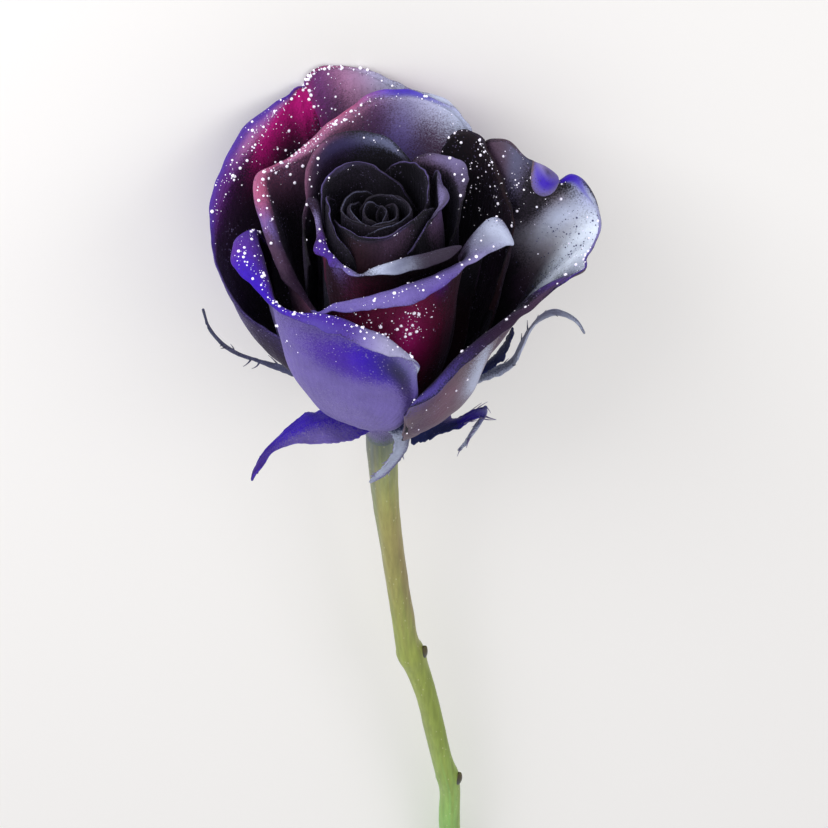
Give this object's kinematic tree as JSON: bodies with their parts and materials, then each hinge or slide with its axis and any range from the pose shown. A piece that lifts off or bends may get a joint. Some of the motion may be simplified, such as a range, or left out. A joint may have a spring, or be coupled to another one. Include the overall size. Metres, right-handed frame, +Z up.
{
  "type": "preserved rose",
  "caption": "Preserved rose on a short cut stem, lying on its outer petals: furled centre, rolled petals, curling sepals.",
  "frame": {"origin": "on the surface, under the middle of the lying flower's box", "axes": "+Y along the flower from the cut end of the stem to the bloom, +Z up from the surface, +X across"},
  "size_m": [0.0659, 0.2116, 0.0476],
  "materials": {
    "petals": "soft satin petal dyed plum, violet and lavender, with fine glitter",
    "sepals": "dry leathery leaf dyed blue-violet and pale lavender",
    "stem": "satin green bark with a grey bloom near the flower"
  },
  "bodies": {
    "root": {"bloom": "petals", "calyx": "sepals", "stem": "stem"}
  },
  "joints": []
}
